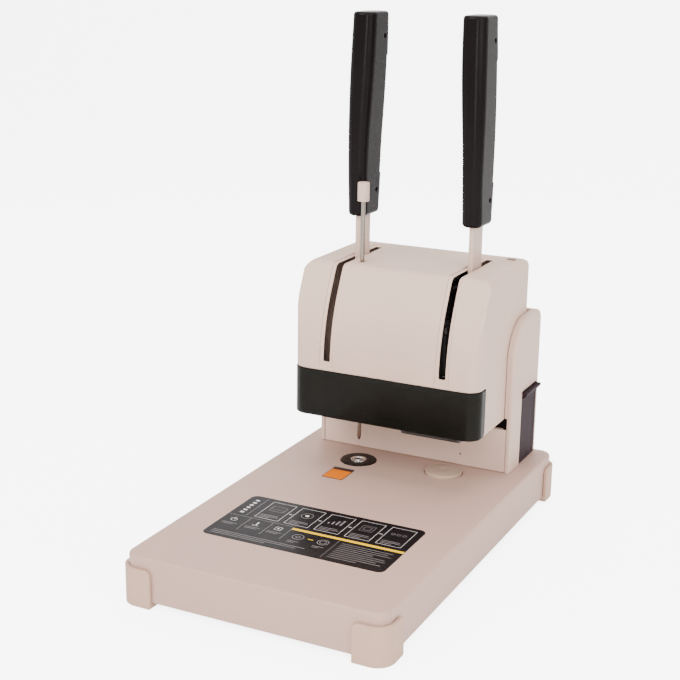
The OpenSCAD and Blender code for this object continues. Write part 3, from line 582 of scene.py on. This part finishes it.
lab = solid("instruction_sticker", acc[0], acc[1], [M["label"], M["ink"], M["grey_ink"], M["yellow"]], acc[2])
ride_slot(lab, "stand", "label_film", "instruction_label")

acc = ([], [], [])
prism(acc, rrect(-61, 33, -36.5, 65.5, 0.8, 3), 50.0, 50.28, 0, 0.1)
prism(acc, [(-60.2, 34.0), (-37.3, 34.0), (-37.3, 58.2), (-60.2, 58.2)], 50.27, 50.3, 1)
tag = solid("colour_patch", acc[0], acc[1], [M["tag_dark"], M["orange"]], acc[2])
ride_slot(tag, "stand", "tag_film", "colour_tag")

# ------------------------------------------------------------------ the two stations
SX, SY = -47.5, 97
def fil(r, z, e, s=1, n=4):
    """Returns an empty list; the rounded outer top corner at (r, z) is not built."""
    return [(r - e + e * math.sin(math.pi / 2 * (1 - i / n)) if s > 0 else r, z) for i in range(0)]
def top_round(r0, r1, z0, z1, e, n=4):
    """Loop of a ring from r0 to r1 with rounded top corners."""
    L = [(r0, z0), (r1, z0)]
    L += [(r1 - e + e * math.cos(math.pi / 2 * i / n), z1 - e + e * math.sin(math.pi / 2 * i / n)) for i in range(n + 1)]
    if r0 > 0.01:
        L += [(r0 + e - e * math.sin(math.pi / 2 * i / n), z1 - e + e * math.cos(math.pi / 2 * i / n)) for i in range(n + 1)]
    else:
        L += [(0.0, z1)]
    return L
ride_slot(lathe("heat_ring_disc", top_round(9.3, 19.8, 46, 50.6, 0.5), SX, SY, [M["ring"]], 96), "stand", "ring_plastic", "heat_ring")
groove = [(4.6 + 1.1 * math.cos(math.pi * i / 8), 51.2 - 1.1 * math.sin(math.pi * i / 8)) for i in range(9)]
die = [(2.7, 38.0), (5.0, 38.0), (5.0, 46.0), (9.0, 46.0), (9.0, 50.7), (8.85, 51.05), (8.5, 51.2)] + groove + [(3.0, 51.2), (2.7, 50.9)]
ride_slot(lathe("lower_die_face", die, SX, SY, [M["steel"]], 72), "stand", "steel", "lower_die")
pad = [(0.0, 47.0), (20.0, 47.0), (20.0, 52.5), (19.9, 52.85), (19.6, 53.15), (19.2, 53.3), (17.6, 53.3), (17.3, 53.1), (16.9, 53.1), (16.6, 53.25), (5.2, 53.25), (3.8, 53.1), (2.0, 52.7), (0.0, 52.6)]
ride_slot(lathe("cutter_pad_disc", pad, 50, 107, [M["nylon"]], 96), "cutter_pad", "nylon", "cutter_pad")

# ------------------------------------------------------------------ column
CH = [(135.0, 30.0)] + arc_pts(177, 176, 42, 180, 97, 20) + [(186, 218)] + arc_pts(208, 206, 12, 90, 0, 6) + [(220, 30.0)]
def f_col(X, Y, Z):
    o = rmax(poly(Y, Z, CH), np.abs(X) - 115, 3.2)
    o = rmax(o, 50.02 - Z, 0.3)
    o = cut(o, box(X, Y, Z, (-109.5, 100, 0), (109.5, 205.4, 112), 0.3), 0.6)
    o = cut(o, box(X, Y, Z, (-106.7, 100, 0), (106.7, 205.4, 300), 0.3), 0.6)
    o = cut(o, box(X, Y, Z, (-109.5, 100, 0), (109.5, 216, 112), 1.0))
    o = cut(o, box(X, Y, Z, (-106.7, 100, 0), (106.7, 216, 214.5), 1.0))
    o = cut(o, box(X, Y, Z, (100, 166.5, 0), (130, 216.2, 134.5), 0.8), 0.5)
    o = cut(o, box(X, Y, Z, (-85, 218, 58), (85, 240, 200), 1.5), 0.3)
    o = cut(o, box(X, Y, Z, (-72, 200, 66), (72, 240, 192), 1.5), 0.3)
    return o
ride_slot(field_mesh("column_shell", f_col, (-117, 133, 48), (117, 222, 220), 1.1, M["beige"], thin=0.3), "stand", "beige_plastic", "column_housing")

def f_stop(X, Y, Z):
    o = rmin(box(X, Y, Z, (-109.1, 135.6, 50.45), (109.1, 137.6, 99), 0.5), box(X, Y, Z, (-104, 136.6, 97), (104, 141, 99), 0.4), 0.4)
    return cut(o, ln(X - 57.3, Z - 63) - 1.1 + Y * 0, 0.25)
ride_slot(field_mesh("paper_stop", f_stop, (-111, 134, 49), (111, 142.5, 100.5), 0.65, M["beige"], thin=0.3), "stand", "beige_plastic", "paper_stop_panel")

def f_rear(X, Y, Z):
    o = box(X, Y, Z, (-84.7, 218.05, 58.3), (84.7, 220.3, 199.7), 0.6)
    for i in range(7):
        o = cut(o, rect(X, Z, -40, 140 + 7 * i, 40, 143 + 7 * i, 1.45) + Y * 0, 0.3)
    o = cut(o, rect(X, Z, -64.2, 70.8, -35.8, 97.2, 1.0) + Y * 0, 0.2)
    return cut(o, rect(X, Z, -19.2, 72.8, -0.8, 95.2, 1.0) + Y * 0, 0.2)
ride_slot(field_mesh("rear_cover_panel", f_rear, (-86, 217, 57), (86, 221.5, 201), 0.7, M["beige"], thin=0.35), "stand", "beige_plastic", "rear_cover")
def f_screw(X, Y, Z):
    o = rmax(ln(X, Z) - 3.2 + Y * 0, ln(X, Z, (Y - 217.2) * 1.0) - 5.4, 0.4)
    o = np.maximum(o, 220.32 - Y)
    o = np.minimum(o, np.maximum(ln(X, Z) - 1.6, span(Y, 215.9, 220.6)))
    c = np.minimum(np.maximum(np.abs(X) - 0.45, np.abs(Z) - 1.9), np.maximum(np.abs(Z) - 0.45, np.abs(X) - 1.9))
    return cut(o, np.maximum(c, 221.2 - Y), 0.1)
ride_slot(field_mesh("rear_cover_screw_set", f_screw, (-4, 215, -4), (4, 223.5, 4), 0.25, M["zinc"], thin=0, at=[(sx * 78, 0, z) for sx in (-1, 1) for z in (64, 194)]), "stand", "zinc", "rear_cover_screws")

def f_inlet(X, Y, Z):
    o = rmin(box(X, Y, Z, (-64, 203, 71), (-36, 221, 97), 0.8), box(X, Y, Z, (-67, 220.35, 68.5), (-33, 222.3, 99.5), 0.8), 0.3)
    s = poly(X, Z, [(-60.5, 76), (-60.5, 87), (-55.5, 92.5), (-44.5, 92.5), (-39.5, 87), (-39.5, 76)])
    o = cut(o, np.maximum(s, 207 - Y), 0.4)
    for px, pz in ((-57, 81), (-50, 86), (-43, 81)):
        o = np.minimum(o, box(X, Y, Z, (px - 1, 206, pz - 2), (px + 1, 218, pz + 2), 0.3))
    return o
ride_slot(field_mesh("power_inlet_socket", f_inlet, (-68.5, 201.5, 67), (-31.5, 223.5, 101), 0.55, M["black"], thin=0.4), "stand", "black_plastic", "power_inlet")
def f_swf(X, Y, Z):
    o = rmin(box(X, Y, Z, (-19, 204, 73), (-1, 221, 95), 0.5), box(X, Y, Z, (-21.5, 220.35, 70.5), (1.5, 222.3, 97.5), 0.8), 0.3)
    return cut(o, box(X, Y, Z, (-16.6, 207, 74.6), (-3.4, 240, 93.4), 0.5), 0.3)
ride_slot(field_mesh("switch_surround", f_swf, (-23, 203, 69), (3, 223.5, 99), 0.55, M["black"], thin=0.4), "stand", "black_plastic", "switch_frame")
RK = [(213, 82), (213, 86), (220.2, 91.6), (223.6, 90.8), (222, 84), (221.2, 76.6), (217.6, 76.4)]
def f_rock(X, Y, Z):
    o = rmax(poly(Y, Z, RK), span(X, -16.2, -3.8), 0.6)
    o = cut(o, np.maximum(np.maximum(np.abs(X + 10) - 0.35, span(Z, 86, 89.4)), 222.35 - Y), 0.05)
    return o
ride_slot(field_mesh("rocker_cap", f_rock, (-17, 212, 75), (-3, 225, 93), 0.3, M["red"], thin=0.4), "power_rocker", "rocker_red", "switch_rocker")

# ------------------------------------------------------------------ chip drawer
def f_chip(X, Y, Z):
    o = box(X, Y, Z, (72, 167.5, 50.4), (114.6, 215.2, 133), 0.8)
    o = cut(o, box(X, Y, Z, (74, 169.5, 52.4), (112.4, 213.2, 160), 0.8), 0.3)
    lip = rmax(np.maximum(disc(X, Z, 113.4, 133, 6.8), Z - 133), span(Y, 167.5, 215.2), 0.6)
    lip = np.maximum(lip, 112.6 - X)
    lip = cut(lip, rmax(disc(X, Z, 115.6, 126.4, 3.4), span(Y, 169.8, 212.8), 0.5), 0.5)
    o = rmin(o, lip, 0.5)
    return cut(o, np.maximum(rect(Y, Z, 172.5, 56, 210.2, 122, 2), 114.2 - X), 0.2)
ride_slot(field_mesh("chip_drawer_box", f_chip, (70.5, 166, 49), (122, 217, 134.5), 0.8, M["drawer"], thin=0.4), "chip_drawer", "drawer_plastic", "chip_box")

# ------------------------------------------------------------------ head
PR = [(40.0, 40.0), (44.0, 120.0), (48.6, 150.0), (50.5, 172)] + [(50.5 + 176 - math.sqrt(176 ** 2 - (z - 172) ** 2), z) for z in range(178, 256, 6)]
PR = PR + [(74.3, 262.0), (78.2, 269.5), (80.0, 272.2), (82.4, 274.0), (86.0, 275.0)]
PR = PR + arc_pts(196, 266, 9, 90, 0, 6) + [(205, 40.0)]
def f_head_out(X, Y, Z):
    side_ = np.abs(X) - 106.2
    o = rmax(np.maximum(poly(Y, Z, PR), side_), (Z - 275 + side_ + 7.2) * 0.7071, 2.2)
    return np.maximum(o, rect(X, Y, -106.2, 50.5, 106.2, 205, 15))
def f_head(X, Y, Z):
    o = f_head_out(X, Y, Z)
    s = np.maximum(np.maximum(o, -(o + 2.9)), 111.0 - Z)
    t = np.maximum(o, -(o + 2.9))
    s = rmax(t, 111.0 - Z, 0.5)
    for sx in (-66.1, 66.1):
        ax = np.abs(X - sx)
        ch = rmax(ax - 7.8, rect(Y, Z, -100, 166.5, 186.5, 500, 4) + X * 0, 0.5)
        s = np.maximum(s, np.minimum(-ch, o + 1.4))
        s = cut(s, np.maximum(ax - 3.8, np.maximum(173 - Z, Y - 181)), 0.5)
    s = cut(s, disc(X, Y, SX, SY, 2.85) + Z * 0, 0.2)
    s = cut(s, np.maximum(ln(X - SX, Y - SY) - (2.85 + (Z - 273.2)), 272 - Z), 0.3)
    s = cut(s, np.maximum(Z - 163, Y - 75) + X * 0, 0.5)
    s = cut(s, box(X, Y, Z, (82, 183, 268), (93, 197, 290), 1.0), 0.3)
    s = np.maximum(s, -box(X, Y, Z, (69, 165, 90), (140, 240, 149)))
    return s
ride_slot(field_mesh("head_shell", f_head, (-108, 48.5, 109), (108, 207, 277), 1.0, M["beige"], thin=0.3), "stand", "beige_plastic", "head_housing")

def f_guard(X, Y, Z):
    a = rect(X, Y, -106.9, 49.8, 106.9, 300, 15.7)
    o = rmax(a, Z - 162.8, 0.8)
    o = rmax(o, np.maximum(rect(Y, Z, -300, 111, 74.8, 500, 7), 111 - Z) + X * 0, 1.2)
    o = cut(o, rect(X, Y, -103.2, 53.5, 103.2, 400, 12) + Z * 0, 0.4)
    return o
ride_slot(field_mesh("smoked_visor", f_guard, (-108.5, 48, 109.5), (108.5, 77, 164.5), 0.9, M["smoke"], thin=0.35), "stand", "smoked_guard", "front_guard")

# ------------------------------------------------------------------ levers
GZ = np.array([319, 322, 364, 397, 429, 465, 493, 528, 533.0])
GW = np.array([21.6, 21.6, 21.8, 23.0, 25.2, 26.7, 27.1, 26.3, 26.0])
GD = np.array([43.4, 43.8, 51.0, 52.4, 53.4, 53.0, 51.8, 48.4, 47.6])
GR = np.array([9.5, 9.5, 10, 10.6, 11.6, 12.0, 12.2, 11.8, 11.6])
GL = np.array([0, 0, 0.3, 0.6, 1.6, 2.9, 3.8, 4.7, 4.8])
ZZ = np.linspace(310, 540, 231)
def smooth_row(v):
    q = np.interp(ZZ, GZ, v)
    k = np.ones(37) / 37
    return np.convolve(np.pad(q, 18, mode="edge"), k, mode="valid")
TW, TD, TR_, TL = [smooth_row(v) for v in (GW, GD, GR, GL)]
for s, nm, body in ((-1, "rivet", "rivet_lever"), (1, "drill", "drill_lever")):
    def f_grip(X, Y, Z, s=s):
        w, d, r, l = [np.interp(Z, ZZ, t) for t in (TW, TD, TR_, TL)]
        cx = s * (65.6 - l)
        q0 = np.abs(X - cx) - w / 2 + r
        q1 = np.abs(Y - 136) - d / 2 + r
        o = np.minimum(np.maximum(q0, q1), 0) + ln(np.maximum(q0, 0), np.maximum(q1, 0)) - r
        full = o
        o = rmax(o, Z - 533, 3.2)
        o = rmax(o, 319 - Z, 4.0)
        side_ = cx + w / 2
        # shallow panel low on the rear half of the right-hand side, with a screw recess above and below it
        pan = rmax(rect(Y, Z, 143, 362, 190, 488, 6) + X * 0, cx + 2 - X, 0.5)
        o = np.maximum(o, np.minimum(-pan, full + 0.8 + X * 0))
        for z in (345, 508):
            o = cut(o, np.maximum(ln(Y - 144, Z - z) - 2.6 + X * 0, side_ - 3.6 - X), 0.5)
        return o
    x0 = s * 64 - 14
    ride_slot(field_mesh(nm + "_handle", f_grip, (x0 - 5, 106, 317), (x0 + 33, 166, 535), 0.72, M["grip"], thin=0), body, "black_grip", nm + "_grip")
    BP = [(121.5, 184), (135, 174), (160, 173), (167, 192), (148.5, 220), (148.5, 494.5), (121.5, 494.5)]
    def f_arm(X, Y, Z, s=s):
        o = rmax(poly(Y, Z, BP), span(X, s * 65.6 - 2.7, s * 65.6 + 2.7), 0.9)
        o = rmin(o, rmax(ln(Y - 154, Z - 186) - 14, span(X, s * 65.6 - 5, s * 65.6 + 5), 0.6), 0.6)
        return cut(o, ln(Y - 154, Z - 186) - 6.02 + X * 0, 0.3)
    ride_slot(field_mesh(nm + "_lever_bar", f_arm, (s * 65.6 - 7, 119, 170), (s * 65.6 + 7, 170, 497), 0.9, M["bar"], thin=0.3), body, "lever_paint", nm + "_lever_arm")

knob = [(0.0, 340.0), (5.6, 340.0), (6.05, 340.2), (6.2, 340.7), (6.2, 341.6), (5.95, 341.9), (5.95, 342.5), (6.2, 342.8), (6.2, 358.9), (6.05, 359.5), (5.6, 359.85), (5.0, 360.0), (0.0, 360.0)]
ride_slot(lathe("needle_knob_cap", knob, SX, SY, [M["bar"]], 64), "guide_needle", "beige_plastic", "needle_knob")
tip = [(0.0, 73.5), (0.3, 73.5), (0.9, 74.4), (1.5, 75.6), (2.0, 76.9), (2.25, 78.2), (2.25, 236), (4.7, 236), (5.0, 236.3), (5.0, 251.7), (4.7, 252), (2.25, 252), (2.25, 352), (0.0, 352)]
ride_slot(lathe("needle_rod", tip, SX, SY, [M["needle"]], 40), "guide_needle", "steel", "guide_needle")

# ------------------------------------------------------------------ presser and springs
def f_press(X, Y, Z):
    o = box(X, Y, Z, (15, 64, 102.6), (84, 125, 106), 0.9)
    o = rmax(rect(X, Y, 15, 64, 84, 125, 5), span(Z, 102.6, 106), 0.8)
    for x in (37, 56.5):
        o = rmin(o, rmax(disc(X, Y, x, 82.5, 3), span(Z, 104, 220), 0.6), 0.5)
        o = rmin(o, rmax(disc(X, Y, x, 82.5, 3.6), span(Z, 212.2, 215.5), 0.4), 0.2)
    return cut(o, np.maximum(disc(X, Y, 47.5, 97, 4.2), Z - 109), 0.6)
ride_slot(field_mesh("presser_foot", f_press, (13.5, 62.5, 101), (85.5, 126.5, 221.5), 0.9, M["presser"], thin=0.4), "presser", "steel", "presser_plate")
sp = coil("presser_spring_pair", [(37, 82.5, 106.2, 168.3), (56.5, 82.5, 106.2, 168.3)], 4.3, 0.6, 9, [M["zinc"]])
ride_slot(sp, "drill_carriage", "zinc", "presser_springs")
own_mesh(sp)
ls = coil("lever_spring_pair", [(186, 154, -46, -32), (186, 154, 20, 36)], 9, 0.9, 5, [M["zinc"]], axis="X")
ride_slot(ls, "stand", "zinc", "lever_springs")

# ------------------------------------------------------------------ floor, light
def stage_mesh(name, verts, faces, mat):
    me = bpy.data.meshes.new(name)
    me.from_pydata(verts, [], faces)
    ob = bpy.data.objects.new(name, me)
    scene.collection.objects.link(ob)
    me.materials.append(mat)
    ob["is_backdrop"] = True
    return ob
fm = material("floor_pale", (0.90, 0.905, 0.91), 0.8, var=0.01, fine=40, bump=0.0)
fp = next(n for n in fm.node_tree.nodes if n.type == "BSDF_PRINCIPLED")
fp.inputs["Emission Color"].default_value = (0.97, 0.985, 1.0, 1)
lp = fm.node_tree.nodes.new("ShaderNodeLightPath")
lm = fm.node_tree.nodes.new("ShaderNodeMath")
lm.operation = "MULTIPLY_ADD"
lm.inputs[1].default_value, lm.inputs[2].default_value = 5.0, 0.35
fm.node_tree.links.new(lp.outputs["Is Camera Ray"], lm.inputs[0])
fm.node_tree.links.new(lm.outputs[0], fp.inputs["Emission Strength"])
V = []
rows = [(-4.0, 0.0), (2.2, 0.0)] + [(2.2 + 1.5 * math.sin(math.radians(a)), 1.5 - 1.5 * math.cos(math.radians(a))) for a in range(10, 91, 10)] + [(3.7, 5.0)]
for y, z in rows:
    V += [(-7, y, z - 0.0002), (7, y, z - 0.0002)]
fl = stage_mesh("floor", V, [(2 * i, 2 * i + 1, 2 * i + 3, 2 * i + 2) for i in range(len(rows) - 1)], fm)
fl.data.polygons.foreach_set("use_smooth", np.ones(len(fl.data.polygons), bool))

def area(name, loc, to, size, power, col=(1, 1, 1)):
    d = bpy.data.lights.new(name, "AREA")
    d.shape = "RECTANGLE"
    d.size, d.size_y = size
    d.energy = power
    d.color = col
    o = bpy.data.objects.new(name, d)
    scene.collection.objects.link(o)
    o.location = loc
    o.rotation_mode = "QUATERNION"
    o.rotation_quaternion = (Vector(to) - Vector(loc)).to_track_quat("-Z", "Y")
area("key", (-0.9, -2.0, 1.9), (0, 0, 0.15), (1.6, 1.6), 88, (1.0, 0.965, 0.93))
area("fill", (2.1, -0.9, 1.3), (0, 0, 0.2), (1.6, 1.8), 48, (1.0, 0.965, 0.93))
area("strip", (0.89, -1.9, 0.95), (0, 0.13, 0.42), (0.14, 1.7), 26, (1.0, 0.97, 0.95))
area("top", (0.0, 0.5, 2.4), (0, 0, 0), (2.2, 2.2), 58, (1.0, 0.975, 0.95))
w = bpy.data.worlds.new("world")
scene.world = w
w.use_nodes = True
w.node_tree.nodes["Background"].inputs[0].default_value = (1, 0.97, 0.945, 1)
wl = w.node_tree.nodes.new("ShaderNodeLightPath")
wm = w.node_tree.nodes.new("ShaderNodeMath")
wm.operation = "MULTIPLY_ADD"
wm.inputs[1].default_value, wm.inputs[2].default_value = 4.4, 1.0
w.node_tree.links.new(wl.outputs["Is Camera Ray"], wm.inputs[0])
w.node_tree.links.new(wm.outputs[0], w.node_tree.nodes["Background"].inputs[1])

lo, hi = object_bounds()
